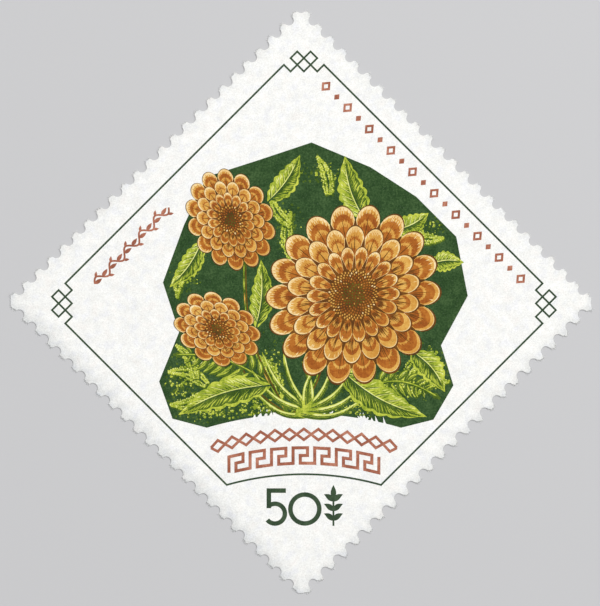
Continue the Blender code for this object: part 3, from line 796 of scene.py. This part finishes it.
def makeInkGrain():
    # a fine printing screen, cloudy coverage and specks where the paper shows through
    tree, source, sink = newGroup(
        "inkGrain",
        (
            ("Ink", "Color", (0.5, 0.5, 0.5, 1)), ("Thin Ink", "Color", (0.8, 0.8, 0.8, 1)),
            ("Full Ink", "Color", (0.2, 0.2, 0.2, 1)), ("Screen", "Float", 0.3), ("Cloud", "Float", 0.5),
            ("Grain", "Float", 0.2), ("Specks", "Float", 0.3), ("Paper", "Color", (0.8, 0.8, 0.78, 1)),
        ),
        (("Color", "Color"), ("Roughness", "Float")),
    )
    given = source.outputs
    place = objectPlace(tree)
    wobble = noiseNode(tree, place, *grainLook["wobble"]).outputs["Color"]
    size, scale = grainLook["wobbleSize"], grainLook["screenScale"]
    shaken = addNode(tree, "VectorMath", {0: wobble, 1: (size, size, 0), 2: place}, operation="MULTIPLY_ADD")
    angle = math.radians(grainLook["screenAngle"])
    diagonal = mapped(tree, shaken.outputs[0], angle, (scale, scale, 0))
    parts = addNode(tree, "SeparateXYZ", {0: diagonal})
    waves = [mathNode(tree, "SINE", parts.outputs[axis]) for axis in (0, 1)]
    dots = mapRange(tree, mathNode(tree, "MULTIPLY", *waves), -0.7, 0.7)
    coarse = noiseNode(tree, place, *grainLook["coarse"]).outputs[0]
    fine = noiseNode(tree, place, *grainLook["fine"]).outputs[0]
    cloud = mathNode(tree, "MULTIPLY", mapRange(tree, coarse, 0.35, 0.65, -0.5, 0.5), given["Cloud"])
    screen = mathNode(tree, "MULTIPLY", mathNode(tree, "SUBTRACT", dots, 0.5), given["Screen"])
    grain = mathNode(tree, "MULTIPLY", mapRange(tree, fine, 0.3, 0.7, -1.0, 1.0), given["Grain"])
    patchy = mathNode(tree, "ADD", cloud, screen)
    coverage = mathNode(tree, "ADD", patchy, mathNode(tree, "ADD", grain, 0.5), clamp=True)
    lighter = mixColour(tree, mapRange(tree, coverage, 0.5, 0.0), given["Ink"], given["Thin Ink"])
    tone = mixColour(tree, mapRange(tree, coverage, 0.5, 1.0), lighter, given["Full Ink"])
    speckMap = addNode(tree, "TexVoronoi", {"Vector": place, "Scale": grainLook["specks"]}, feature="F1")
    specks = mapRange(tree, speckMap.outputs["Distance"], *grainLook["speckSize"])
    specks = mathNode(tree, "MULTIPLY", specks, given["Specks"])
    gaps = mathNode(tree, "MULTIPLY", specks, mapRange(tree, coarse, *grainLook["speckPlaces"]), clamp=True)
    colour = mixColour(tree, gaps, tone, given["Paper"])
    roughness = mapRange(tree, coverage, 0.0, 1.0, *grainLook["roughness"])
    feed(tree, sink, {"Color": colour, "Roughness": roughness})
    return tree


paperTooth = makePaperTooth()
inkGrain = makeInkGrain()


def newMaterial(name):
    material = bpy.data.materials.new(name)
    material.use_nodes = True
    return material, material.node_tree, material.node_tree.nodes["Principled BSDF"]


inkLabels = ("Ink", "Thin Ink", "Full Ink", "Screen", "Cloud", "Grain", "Specks")
inks = {
    # one value for each label
    "darkGreen": ((0.026, 0.067, 0.018), (0.068, 0.127, 0.044), (0.011, 0.036, 0.008), 0.32, 0.4, 0.42, 0.18),
    "olive": ((0.058, 0.11, 0.009), (0.14, 0.205, 0.022), (0.024, 0.056, 0.006), 0.55, 0.8, 0.24, 0.1),
    "yellowGreen": ((0.365, 0.44, 0.036), (0.6, 0.64, 0.09), (0.165, 0.25, 0.016), 0.65, 0.95, 0.26, 0.12),
    "paleYellow": ((0.7, 0.72, 0.22), (0.79, 0.82, 0.37), (0.56, 0.6, 0.12), 0.45, 0.7, 0.22, 0.1),
    "ochre": ((0.62, 0.312, 0.06), (0.74, 0.455, 0.115), (0.49, 0.208, 0.026), 0.45, 0.7, 0.24, 0.15),
    "rust": ((0.37, 0.108, 0.013), (0.5, 0.185, 0.028), (0.24, 0.058, 0.008), 0.45, 0.75, 0.24, 0.1),
    "brown": ((0.13, 0.045, 0.006), (0.215, 0.085, 0.012), (0.062, 0.027, 0.006), 0.3, 0.6, 0.22, 0.08),
    "cream": ((0.82, 0.6, 0.28), (0.88, 0.73, 0.45), (0.72, 0.45, 0.16), 0.35, 0.8, 0.22, 0.1),
    "red": ((0.352, 0.12, 0.07), (0.52, 0.232, 0.154), (0.252, 0.084, 0.048), 0.3, 0.8, 0.26, 0.35),
    "lineGreen": ((0.035, 0.064, 0.032), (0.068, 0.11, 0.06), (0.019, 0.042, 0.02), 0.3, 0.6, 0.22, 0.15),
}
inkFinish = {"fibreHeight": 0.6, "bump": (0.35, 0.00002), "specular": 0.12}


def makeInk(name):
    material, tree, shader = newMaterial(name + "Ink")
    grain = addNode(tree, "Group", dict(zip(inkLabels, inks[name])), node_tree=inkGrain)
    sizes = {"Fibre Size": 1.0, "Fibre Height": inkFinish["fibreHeight"]}
    tooth = addNode(tree, "Group", sizes, node_tree=paperTooth)
    feed(tree, shader, {
        "Base Color": grain.outputs["Color"],
        "Roughness": grain.outputs["Roughness"],
        "Normal": bumpNormal(tree, tooth.outputs["Height"], *inkFinish["bump"]),
        "Specular IOR Level": inkFinish["specular"],
    })
    return material


paperLook = {
    "colour": (0.880, 0.880, 0.852),
    "cool": (0.838, 0.843, 0.854),
    "warm": (0.890, 0.871, 0.841),
    "tint": (1000, 2, 0.5),  # noise of the cool and warm patches: scale, detail, roughness
    "fibre": (0.925, 0.925, 0.905),
    "fine": (7500, 2, 0.7),
    "grain": 0.10,  # how far the fine noise lightens and darkens
    "clouds": (0.905, 1.015),  # darkest and lightest patches
    "fleck": (0.420, 0.400, 0.310),
    "fleckScale": 250,  # a place for a fleck in every 4 mm
    "fleckSize": 0.04,  # share of that spacing
    "fleckShare": 0.82,  # how many of the places stay bare
    "edgeShadeTint": (1.06, 1.0, 0.92),  # how much the painted edge shade takes from red, green and blue
    "roughness": (0.72, 0.88),
    "bump": (0.45, 0.00003),
    "specular": 0.3,
}


def makePaper():
    material, tree, shader = newMaterial("stampPaper")
    sizes = {"Fibre Size": 1.0, "Fibre Height": 1.0}
    tooth = addNode(tree, "Group", sizes, node_tree=paperTooth).outputs
    place = objectPlace(tree)
    tint = noiseNode(tree, place, *paperLook["tint"]).outputs[0]
    tone = mixColour(tree, mapRange(tree, tint, 0.50, 0.68), paperLook["colour"], paperLook["cool"])
    tone = mixColour(tree, mapRange(tree, tint, 0.46, 0.32), tone, paperLook["warm"])
    tone = mixColour(tree, mapRange(tree, tooth["Fibres"], 0.2, 1.0, 0.0, 0.5), tone, paperLook["fibre"])
    places = {"Vector": place, "Scale": paperLook["fleckScale"]}
    places = addNode(tree, "TexVoronoi", places, voronoi_dimensions="2D").outputs
    share, size = paperLook["fleckShare"], paperLook["fleckSize"]
    chosen = mapRange(tree, places["Color"], share, share + 0.02)
    fleck = mapRange(tree, places["Distance"], size, size / 2)
    tone = mixColour(tree, mathNode(tree, "MULTIPLY", fleck, chosen), tone, paperLook["fleck"])
    fine = noiseNode(tree, place, *paperLook["fine"]).outputs[0]
    fine = mapRange(tree, fine, 0.3, 0.7, -paperLook["grain"], paperLook["grain"])
    shade = mathNode(tree, "ADD", mapRange(tree, tooth["Clouds"], 0.32, 0.68, *paperLook["clouds"]), fine)
    # painted shade along the sheet's edges, taken off each channel of the paper's tone
    edge = addNode(tree, "Attribute", {}, attribute_name="paintedEdgeShade").outputs["Fac"]
    channels = {}
    for channel, strength in enumerate(paperLook["edgeShadeTint"]):
        channels[channel] = mathNode(tree, "SUBTRACT", shade, mathNode(tree, "MULTIPLY", edge, strength))
    grey = addNode(tree, "CombineColor", channels).outputs[0]
    feed(tree, shader, {
        "Base Color": mixColour(tree, 1.0, tone, grey, "MULTIPLY"),
        "Roughness": mapRange(tree, tooth["Clouds"], 0.3, 0.7, *paperLook["roughness"]),
        "Normal": bumpNormal(tree, tooth["Height"], *paperLook["bump"]),
        "Specular IOR Level": paperLook["specular"],
    })
    return material


gumLook = {
    "colour": (0.815, 0.775, 0.650),
    "thick": (0.775, 0.715, 0.555),
    "cloud": (350, 5, 0.6),  # noise scale, detail, roughness
    "crack": (0.86, 0.85, 0.80),
    "crackScale": 700,
    "crackShow": 0.35,
    "crackDepth": 0.6,
    "roughness": (0.24, 0.40),
    "bump": (0.5, 0.00004),
    "coat": 0.25,
    "coatRoughness": 0.25,
}


def makeGum():
    # dried gum: clear and a little yellow, with fine cracks across it and a soft shine
    material, tree, shader = newMaterial("driedGum")
    place = objectPlace(tree)
    cloud = noiseNode(tree, place, *gumLook["cloud"]).outputs[0]
    cells = {"Vector": place, "Scale": gumLook["crackScale"]}
    cells = addNode(tree, "TexVoronoi", cells, feature="DISTANCE_TO_EDGE").outputs["Distance"]
    cracks = mapRange(tree, cells, 0.05, 0.0)
    tone = mixColour(tree, mapRange(tree, cloud, 0.38, 0.66), gumLook["colour"], gumLook["thick"])
    shown = mathNode(tree, "MULTIPLY", cracks, gumLook["crackShow"])
    height = mathNode(tree, "SUBTRACT", cloud, mathNode(tree, "MULTIPLY", cracks, gumLook["crackDepth"]))
    feed(tree, shader, {
        "Base Color": mixColour(tree, shown, tone, gumLook["crack"]),
        "Roughness": mapRange(tree, cloud, 0.3, 0.7, *gumLook["roughness"]),
        "Normal": bumpNormal(tree, height, *gumLook["bump"]),
        "Coat Weight": gumLook["coat"],
        "Coat Roughness": gumLook["coatRoughness"],
    })
    return material


inkMaterials = {name: makeInk(name) for name in inks}
paperMaterial = makePaper()
gumMaterial = makeGum()
print("materials made")


def linked(name, data):
    thing = bpy.data.objects.new(name, data)
    bpy.context.scene.collection.objects.link(thing)
    return thing


def joinFlush(mesh):
    # cells of one ink that lie flush become one face
    film = bmesh.new()
    film.from_mesh(mesh)
    bmesh.ops.dissolve_limit(film, angle_limit=press["flush"], verts=film.verts, edges=film.edges)
    film.to_mesh(mesh)
    film.free()


def addPiece(name, points, faces, material, slot, replaced=()):
    mesh = bpy.data.meshes.new(name)
    mesh.from_pydata(points, [], faces)
    if slot.endswith("_ink"):
        joinFlush(mesh)
    mesh.materials.append(material)
    piece = linked(name, mesh)
    # a flat map, so that the pattern lies straight on the sheet
    margin = 0.01
    low = [min(point[axis] for point in points) for axis in (0, 1)]
    size = max(max(point[axis] for point in points) - low[axis] for axis in (0, 1))
    flat = mesh.uv_layers.new(name="OFBake")
    for corner, loop in zip(flat.data, mesh.loops):
        spot = mesh.vertices[loop.vertex_index].co
        corner.uv = [margin + (1 - 2 * margin) * (spot[axis] - low[axis]) / size for axis in (0, 1)]
    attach(piece, "root")
    if replaced:
        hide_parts(*replaced)
    return piece


def pressPlates():
    # splits the outlines into cells that don't overlap; the last outline laid on a cell colours it
    points, loops = [], []
    for _, _, outline, _ in picture:
        loops.append(list(range(len(points), len(points) + len(outline))))
        points += outline
    spots, _, cells, _, _, origins = delaunay_2d_cdt(points, [], loops, 1, press["merge"])
    plates = {}
    for cell, over in zip(cells, origins):
        shown = [number for number in over if picture[number][3] is None or picture[number][3] in over]
        if shown:
            ink, film, _, _ = picture[max(shown)]
            if ink:
                plates.setdefault(ink, []).append((tuple(cell), film))
    return spots, plates


def plateMesh(spots, cells):
    # closed prisms from the paper up to each cell's film; steps inside a plate get a wall of their own height
    owner = {}
    for index, (cell, _) in enumerate(cells):
        for a, b in zip(cell, cell[1:] + cell[:1]):
            owner[(a, b)] = index
    root = {(index, a): (index, a) for index, (cell, _) in enumerate(cells) for a in cell}

    def fan(corner):
        # corners of cells that join round a spot share their vertices; cells that only touch there don't
        while root[corner] != corner:
            root[corner] = root[root[corner]]
            corner = root[corner]
        return corner

    for (a, b), index in owner.items():
        other = owner.get((b, a))
        if other is not None and index < other:
            for spot in (a, b):
                root[fan((index, spot))] = fan((other, spot))

    def top(index):
        return press["bottom"] + press["film"] + press["step"] * (cells[index][1] - 1)

    levels = {}
    for index, (cell, _) in enumerate(cells):
        for a in cell:
            levels.setdefault(fan((index, a)), set()).add(top(index))
    points, numbers, faces = [], {}, []

    def vertex(index, spot, height):
        key = (fan((index, spot)), round(height, 5))
        if key not in numbers:
            numbers[key] = len(points)
            x, y = spots[spot]
            points.append(((x + press["shift"][0]) * mm, (y + press["shift"][1]) * mm, height * mm))
        return numbers[key]

    hair = 1e-6  # heights nearer to each other than this are one
    for index, (cell, _) in enumerate(cells):
        high = top(index)
        faces.append([vertex(index, a, high) for a in cell])
        faces.append([vertex(index, a, press["bottom"]) for a in cell[::-1]])
        for a, b in zip(cell, cell[1:] + cell[:1]):
            other = owner.get((b, a))
            low = press["bottom"] if other is None else top(other)
            if low < high - hair:
                rises = [
                    [z for z in sorted(levels[fan((index, spot))]) if low + hair < z < high - hair]
                    for spot in (a, b)
                ]
                wall = [vertex(index, a, low), vertex(index, b, low)]
                wall += [vertex(index, b, z) for z in rises[1]]
                wall += [vertex(index, b, high), vertex(index, a, high)]
                wall += [vertex(index, a, z) for z in rises[0][::-1]]
                faces.append(wall)
    return points, faces


bloomNames = ("large_bloom_", "small_bloom_", "half_open_bloom_")
leafNames = tuple(f"leaf_{k:02d}" for k in range(1, 10))
plateNodes = {
    # piece, slot, nodes that it replaces
    "darkGreen": ("dark_green_print", "dark_green_ink", ("picture_ground",)),
    "olive": ("olive_print", "olive_ink", ("stems", "frond_1", "frond_2")),
    "yellowGreen": ("yellow_green_print", "yellow_green_ink", ("grass_tuft", *leafNames)),
    "paleYellow": ("pale_yellow_print", "yellow_green_ink", ()),
    "ochre": ("ochre_print", "ochre_ink", tuple(bloom + "middle" for bloom in bloomNames)),
    "rust": (
        "rust_print", "rust_ink", tuple(bloom + ring for bloom in bloomNames for ring in ("outer", "inner")),
    ),
    "brown": ("brown_print", "brown_ink", tuple(bloom + "heart" for bloom in bloomNames)),
    "cream": ("cream_print", "cream_ink", ()),
}
spots, plates = pressPlates()
print("print split into", sum(len(cells) for cells in plates.values()), "cells")
for ink, (name, slot, replaced) in plateNodes.items():
    points, faces = plateMesh(spots, plates[ink])
    addPiece(name, points, faces, inkMaterials[ink], slot, replaced)
    print(name, "made")

lineInks = {
    # the nodes that keep their own shape, by the start of their names
    "red": ("margin_", "lozenge_chain", "key_fret"),
    "lineGreen": ("rule", "digit_", "value_"),
}
for name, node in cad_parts.items():
    for ink, starts in lineInks.items():
        if name.startswith(starts):
            node.data.materials.clear()
            node.data.materials.append(inkMaterials[ink])


sheet = {
    "seed": 40,
    "pitch": 20 / 11,
    "holes": 24,  # pitches along a side
    "holeRadius": 0.52,
    "holeSteps": 14,
    "holeUneven": (0.985, 1.01),
    "cornerDepth": (0.62, 0.85, 0.95, 0.72),  # of the shared holes: bottom, right, top, left
    "tipSteps": 13,
    # how far the teeth pass the line of the holes: lower right, upper right, upper left, lower left side
    "reach": (0.34, 0.11, 0.19, 0.07),
    "uneven": 0.07,  # between one tooth and the next
    "lean": 0.35,  # how much longer one flank of a tooth may be than the other
    "least": 0.03,  # the shortest tooth
    "ragged": 0.075,  # along the tip of a tooth
    "drift": 0.55,  # how much of a step's raggedness the next one keeps
    "squareness": 3.2,  # of the teeth: 2 is round
    "flankTorn": 0.3,  # where a hole meets a tooth, against 1 on the tooth
    # lower and upper face, and how far the torn edge of the upper one stands back; the lower one's does less
    "lowerBack": 0.35,
    "gum": (0.0, 0.012, 0.03),
    "paper": (0.014, 0.099, 0.05),
    "smoothAngle": 25,
    "merge": 1e-6,  # points nearer to each other than this become one
    # points inside the outline: spacing, and how far from the edge they begin and end
    "wideGrid": (1.5, 2.4, None),
    "fineGrid": (0.36, 0.62, 2.3),
    "sideFade": 4,  # how far from a side its share in what is pressed and grey ends
    # the pins press the paper thin, and painted shade greys its edges, most on the lower left side: how far
    # at the edge, how wide it fades, for the sides as above
    "pressed": ((0.012, 0.8), (0.008, 0.7), (0.010, 0.8), (0.024, 1.5)),
    "grey": ((0.100, 0.75), (0.045, 0.7), (0.060, 0.8), (0.185, 1.45)),
    "tipShade": (0.07, 0.3),  # more painted shade where the paper is torn thin
}
sheetHalf = sheet["pitch"] * sheet["holes"] / 2


def sheetOutline(rng):
    # holes punched clean, and the torn teeth between them: a point, how torn it is, its outward way
    radius, steps = sheet["holeRadius"], sheet["holeSteps"]
    outline = []
    for quarter, reach in enumerate(sheet["reach"]):
        angle = 45 + 90 * quarter
        outward = turned((0, -1), angle)
        for k in range(sheet["holes"]):
            centre = Vector((k * sheet["pitch"] - sheetHalf, -sheetHalf))
            start = 90 if k == 0 else 180
            for i in range(steps + 1):
                wobble = radius * rng.uniform(*sheet["holeUneven"])
                if k == 0:
                    wobble *= 1 - (1 - sheet["cornerDepth"][quarter]) * math.sin(math.pi * i / steps) ** 0.5
                torn = sheet["flankTorn"] if i in (0, steps) else 0.0
                outline.append((turned(onArc(centre, wobble, start * (1 - i / steps)), angle), torn, None))
            width = sheet["pitch"] - 2 * radius
            long = max(reach + rng.uniform(-1, 1) * sheet["uneven"], sheet["least"])
            lean = rng.uniform(-sheet["lean"], sheet["lean"])
            drift = 0.0
            for i in range(1, sheet["tipSteps"]):
                share = i / sheet["tipSteps"]
                drift = sheet["drift"] * drift + rng.uniform(-1, 1) * sheet["ragged"]
                swell = (1 - abs(2 * share - 1) ** sheet["squareness"]) * (1 + lean * (2 * share - 1))
                low = long * swell + drift * min(1.0, 4 * share, 4 - 4 * share)
                x = centre.x + radius + width * (share + rng.uniform(-0.02, 0.02))
                outline.append((turned((x, -sheetHalf - max(low, -0.05)), angle), 1.0, outward))
    return outline


def edgeTree(outline):
    edge = KDTree(len(outline))
    for i, (point, _, _) in enumerate(outline):
        edge.insert((point.x, point.y, 0), i)
    edge.balance()
    return edge


def nearEdge(spot, edge, slopes, power):
    # what the sides give at a place, from its distance to the edge
    ways = [turned((0, -1), 45 + 90 * quarter) for quarter in range(4)]
    shares = [max(0.0, 1 - (sheetHalf - spot.dot(way)) / sheet["sideFade"]) ** 2 for way in ways]
    total = sum(shares)
    if not total:
        return 0.0
    gap = edge.find((spot.x, spot.y, 0))[2]
    return sum(
        share / total * most * max(0.0, 1 - gap / width) ** power
        for share, (most, width) in zip(shares, slopes)
    )


def innerPoints():
    # a wide grid over the middle of the sheet, and a fine one near its sides
    points = []
    for spacing, begin, end in (sheet["wideGrid"], sheet["fineGrid"]):
        outer = sheetHalf - begin
        inner = sheetHalf - end if end else 0.0
        rows = int(2 * outer / spacing)
        for i in range(rows + 1):
            for j in range(rows + 1):
                u, v = -outer + 2 * outer * i / rows, -outer + 2 * outer * j / rows
                if max(abs(u), abs(v)) >= inner:
                    points.append(turned((u, v), 45))
    return points


def slabMesh(outline, low, high, bevel, pressed):
    # the torn parts thin out: there the upper face ends sooner than the lower one
    count = len(outline)
    edge = edgeTree(outline)
    points, faces, rims = [], [], []
    for height, inset, upper in ((low, sheet["lowerBack"] * bevel, False), (high, bevel, True)):
        dented = upper and pressed
        rim = []
        for i, (point, torn, _) in enumerate(outline):
            before, after = outline[i - 2][0], outline[(i + 2) % count][0]
            inward = Vector((before.y - after.y, after.x - before.x)).normalized()
            rim.append(point + inward * inset * torn)
        inner = innerPoints() if dented else []
        made = delaunay_2d_cdt(rim + inner, [], [list(range(count))], 1, sheet["merge"])
        spots, _, triangles, sources, _, over = made
        first = len(points)
        for spot in spots:
            drop = nearEdge(spot, edge, sheet["pressed"], 2) if dented else 0.0
            points.append((spot.x * mm, spot.y * mm, (height - drop) * mm))
        for triangle, inside in zip(triangles, over):
            if inside:
                face = [first + i for i in triangle]
                faces.append(face if upper else face[::-1])
        rims.append({source: first + i for i, merged in enumerate(sources) for source in merged})
    for i in range(count):
        j = (i + 1) % count
        faces.append([rims[0][i], rims[0][j], rims[1][j], rims[1][i]])
    return points, faces


def strand(start, direction, length, curl, radius, droop, steps=4):
    # one paper fibre: a thin three-sided tube that ends in a point
    points, faces = [], []
    heading = math.atan2(direction.y, direction.x)
    spot = start
    for i in range(steps):
        thin = radius * (1 - 0.5 * i / steps)
        across = Vector((-math.sin(heading), math.cos(heading), 0))
        for k in range(3):
            angle = 2 * math.pi * k / 3 + 0.5
            points.append(spot + across * math.cos(angle) * thin + Vector((0, 0, 1)) * math.sin(angle) * thin)
        heading += curl / steps
        spot = spot + Vector((math.cos(heading), math.sin(heading), droop)) * length / steps
    points.append(spot)
    faces.append([2, 1, 0])
    for i in range(steps - 1):
        for k in range(3):
            n = (k + 1) % 3
            faces.append([3 * i + k, 3 * i + n, 3 * i + 3 + n, 3 * i + 3 + k])
    last = 3 * (steps - 1)
    for k in range(3):
        faces.append([last + k, last + (k + 1) % 3, 3 * steps])
    return points, faces


fibres = {
    "perPoint": 2.4,
    "length": (0.08, 0.36),
    "short": (0.5, 1.0),  # each is cut to this share of its length
    "radius": (0.006, 0.012),
    "sideways": 1.0,  # radians
    "root": 0.09,  # how far it starts inside the paper
    "height": (0.028, 0.082),
    "between": (0.018, 0.092),  # heights that its tip stays between
    "droop": (-0.12, 0.08),  # fall or rise over its length
    "curl": 1.2,
}


def fibreMesh(outline, rng):
    points, faces = [], []
    for point, _, outward in outline:
        if outward is None:
            continue
        for _ in range(int(fibres["perPoint"] + rng.random())):
            length = rng.uniform(*fibres["length"]) * rng.uniform(*fibres["short"])
            aside = rng.uniform(-1, 1) * fibres["sideways"]
            direction = turned(outward, math.degrees(aside))
            height = rng.uniform(*fibres["height"])
            inside = point - outward * fibres["root"]
            lowest, highest = ((limit - height) / (length + 0.1) for limit in fibres["between"])
            droop = max(min(rng.uniform(*fibres["droop"]), highest), lowest)
            curl = rng.uniform(-fibres["curl"], fibres["curl"])
            radius = rng.uniform(*fibres["radius"])
            start = Vector((inside.x, inside.y, height))
            more, sides = strand(start, direction, length + fibres["root"], curl, radius, droop)
            faces += [[i + len(points) for i in side] for side in sides]
            points += more
    return [(x * mm, y * mm, z * mm) for x, y, z in points], faces


sheetRng = random.Random(sheet["seed"])
outline = sheetOutline(sheetRng)
paperMesh = slabMesh(outline, *sheet["paper"], True)
paperSheet = addPiece("paper_sheet", *paperMesh, paperMaterial, "paper", ("paper",))
addPiece("gum_coat", *slabMesh(outline, *sheet["gum"], False), gumMaterial, "gum", ("gum",))
tornFibres = addPiece("torn_fibres", *fibreMesh(outline, sheetRng), paperMaterial, "paper")
paperSheet.data.shade_smooth()
paperSheet.data.set_sharp_from_angle(angle=math.radians(sheet["smoothAngle"]))


# painted shade near the sheet's edges, heaviest on the lower left side, and more on the thin torn tips
def paintEdgeShade(piece, edge):
    grey = piece.data.attributes.new("paintedEdgeShade", "FLOAT", "POINT")
    most, width = sheet["tipShade"]
    for vertex, value in zip(piece.data.vertices, grey.data):
        spot = vertex.co.xy / mm
        _, nearest, gap = edge.find((*spot, 0))
        tip = most * outline[nearest][1] * max(0.0, 1 - gap / width)
        value.value = nearEdge(spot, edge, sheet["grey"], 1.5) + tip


for piece in (paperSheet, tornFibres):
    paintEdgeShade(piece, edgeTree(outline))
print("sheet made")


studio = {
    "floor": (0.53, 0.53, 0.54),
    "floorRoughness": 0.9,
    "floorReach": 0.6,  # metres
    # power in watts, size and place in metres
    "key": (4.55, 0.30, (0.42, 0.42, 0.42)),
    "fill": (1.9, 0.5, (-0.35, -0.15, 0.6)),
    "ambient": 0.384,
    # the camera looks straight down at the sheet: millimetres
    "frameHeight": 63.63,
    "distance": 1000,
    "aim": (-0.11, -0.085),
}


def addFloor():
    reach = studio["floorReach"]
    corners = [(-reach, -reach, 0), (reach, -reach, 0), (reach, reach, 0), (-reach, reach, 0)]
    mesh = bpy.data.meshes.new("floor")
    mesh.from_pydata(corners, [], [(0, 1, 2, 3)])
    material, tree, shader = newMaterial("paleFloor")
    feed(tree, shader, {"Base Color": studio["floor"], "Roughness": studio["floorRoughness"]})
    mesh.materials.append(material)
    floor = linked("floor", mesh)


def addLight(name):
    power, size, place = studio[name]
    light = bpy.data.lights.new(name, "AREA")
    light.energy, light.size = power, size
    lamp = linked(name, light)
    lamp.location = place
    lamp.rotation_euler = (-Vector(place)).to_track_quat("-Z", "Y").to_euler()


def addWorld():
    world = bpy.data.worlds.new("studio")
    world.use_nodes = True
    sky = {"Color": (1, 1, 1), "Strength": studio["ambient"]}
    feed(world.node_tree, world.node_tree.nodes["Background"], sky)
    bpy.context.scene.world = world


def addCamera():
    lens = bpy.data.cameras.new("camera")
    lens.sensor_fit = "AUTO"
    lens.lens = lens.sensor_width * studio["distance"] / studio["frameHeight"]
    lens.clip_start, lens.clip_end = 0.01, 10
    camera = linked("camera", lens)
    camera.location = (studio["aim"][0] * mm, studio["aim"][1] * mm, studio["distance"] * mm)
    bpy.context.scene.camera = camera


addFloor()
addLight("key")
addLight("fill")
addWorld()
addCamera()
bpy.context.scene.view_settings.view_transform = "Standard"
print("studio made")
